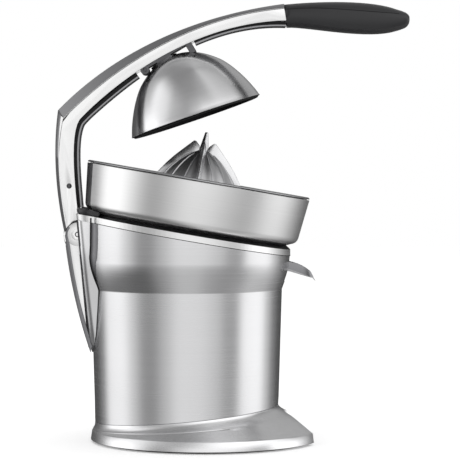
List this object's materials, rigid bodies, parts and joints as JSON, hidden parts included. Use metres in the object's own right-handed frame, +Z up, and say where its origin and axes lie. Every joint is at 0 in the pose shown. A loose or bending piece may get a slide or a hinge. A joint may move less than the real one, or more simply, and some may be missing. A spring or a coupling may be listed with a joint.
{
  "type": "lever citrus juicer",
  "caption": "Motor-driven citrus juicer with a tilted bowl and finned reamer, and a hinged lever arm that presses a swinging dome down on the fruit half.",
  "frame": {"origin": "centre of the rubber foot ring's plane under the body's upright axis, where the appliance stands", "axes": "+X towards the spout and the handle, +Z up, +Y across; the XZ plane is the plane of symmetry"},
  "size_m": [0.3599, 0.234, 0.4468],
  "materials": {
    "base_skirt": "bead blasted cast",
    "base_plate": "textured",
    "foot_ring": "matte",
    "base_screws": "plain",
    "cord_gland": "matte",
    "body_shell": "brushed round the body",
    "rear_housing": "satin",
    "hinge_pocket": "matte",
    "collar_ring": "brushed",
    "top_deck": "matte",
    "rear_cap": "matte",
    "hinge_bracket": "polished",
    "bracket_screws": "plain",
    "hinge_pin": "ground",
    "pin_caps": "polished",
    "lever_arm": "polished",
    "hinge_bushes": "plain",
    "arm_top_strip": "satin",
    "arm_inner_strip": "matte",
    "arm_under_cover": "matte",
    "arm_cross_screw": "blackened",
    "handle_grip": "soft touch",
    "grip_tang": "plain",
    "dome_shell": "spun and brushed",
    "dome_liner": "matte",
    "dome_saddle": "satin",
    "dome_pivot_pin": "blackened",
    "dome_screws": "plain",
    "juice_bowl": "brushed",
    "bowl_rim": "satin",
    "inner_bowl": "gloss",
    "filter_basket": "brushed",
    "reamer_cone": "satin cast",
    "reamer_fins": "satin cast",
    "drive_spindle": "ground",
    "output_gear": "acetal",
    "spindle_bearing": "sintered",
    "shaft_seal": "matte",
    "spout": "satin",
    "spout_pin": "plain",
    "spout_bracket": "matte",
    "gearbox_housing": "die cast",
    "gearbox_cover": "die cast",
    "gearbox_screws": "plain",
    "lay_gear": "acetal",
    "lay_pin": "ground",
    "motor_can": "dark grey",
    "motor_endbell": "moulded",
    "motor_rotor": "laminated core",
    "motor_pinion": "cut teeth",
    "microswitch": "moulded",
    "switch_plunger": "moulded"
  },
  "bodies": {
    "stand": {"base_skirt": "base_skirt", "base_plate": "base_plate", "foot_ring": "foot_ring", "base_screws": "base_screws", "cord_gland": "cord_gland", "body_shell": "body_shell", "rear_housing": "rear_housing", "hinge_pocket": "hinge_pocket", "collar_ring": "collar_ring", "top_deck": "top_deck", "rear_cap": "rear_cap", "hinge_bracket": "hinge_bracket", "bracket_screws": "bracket_screws", "hinge_pin": "hinge_pin", "pin_caps": "pin_caps", "juice_bowl": "juice_bowl", "bowl_rim": "bowl_rim", "inner_bowl": "inner_bowl", "filter_basket": "filter_basket", "spindle_bearing": "spindle_bearing", "shaft_seal": "shaft_seal", "spout_pin": "spout_pin", "spout_bracket": "spout_bracket", "gearbox_housing": "gearbox_housing", "gearbox_cover": "gearbox_cover", "gearbox_screws": "gearbox_screws", "lay_pin": "lay_pin", "motor_can": "motor_can", "motor_endbell": "motor_endbell", "microswitch": "microswitch"},
    "arm": {"lever_arm": "lever_arm", "hinge_bushes": "hinge_bushes", "arm_top_strip": "arm_top_strip", "arm_inner_strip": "arm_inner_strip", "arm_under_cover": "arm_under_cover", "arm_cross_screw": "arm_cross_screw", "handle_grip": "handle_grip", "grip_tang": "grip_tang", "dome_pivot_pin": "dome_pivot_pin"},
    "dome": {"dome_shell": "dome_shell", "dome_liner": "dome_liner", "dome_saddle": "dome_saddle", "dome_screws": "dome_screws"},
    "cone": {"reamer_cone": "reamer_cone", "reamer_fins": "reamer_fins", "drive_spindle": "drive_spindle", "output_gear": "output_gear"},
    "lay": {"lay_gear": "lay_gear"},
    "rotor": {"motor_rotor": "motor_rotor", "motor_pinion": "motor_pinion"},
    "spout_body": {"spout": "spout"},
    "plunger": {"switch_plunger": "switch_plunger"}
  },
  "joints": [
    {"name": "arm_hinge", "type": "hinge", "parent": "stand", "child": "arm", "pos_m": [-0.1098, 0, 0.2107], "axis": [0, 1, 0], "range_deg": [-45, 12.9]},
    {"name": "dome_tilt", "type": "hinge", "parent": "arm", "child": "dome", "pos_m": [-0.042, 0, 0.377], "axis": [0, 1, 0], "range_deg": [0, 15.7], "stiffness_Nm_per_rad": 1.5, "springref_deg": -17.19},
    {"name": "cone_spin", "type": "hinge", "parent": "stand", "child": "cone", "pos_m": [0, 0, 0.195], "axis": [0.1702, 0, 0.9854], "continuous": true},
    {"name": "lay_spin", "type": "hinge", "parent": "stand", "child": "lay", "pos_m": [0, 0.03, 0.195], "axis": [0.1702, 0, 0.9854], "continuous": true},
    {"name": "rotor_spin", "type": "hinge", "parent": "stand", "child": "rotor", "pos_m": [0, 0, 0.195], "axis": [0.1702, 0, 0.9854], "continuous": true},
    {"name": "spout_tilt", "type": "hinge", "parent": "stand", "child": "spout_body", "pos_m": [0.095, 0, 0.177], "axis": [0, 1, 0], "range_deg": [-24, 0]},
    {"name": "switch_press", "type": "slide", "parent": "stand", "child": "plunger", "axis": [1, 0, 0], "range_m": [-0.0035, 0.00101]}
  ],
  "couplings": [
    {"joint": "lay_spin", "follows": "cone_spin", "ratio": -3.2857},
    {"joint": "rotor_spin", "follows": "cone_spin", "ratio": 13.143},
    {"joint": "switch_press", "follows": "arm_hinge", "m_per_rad": 0.0044563}
  ]
}
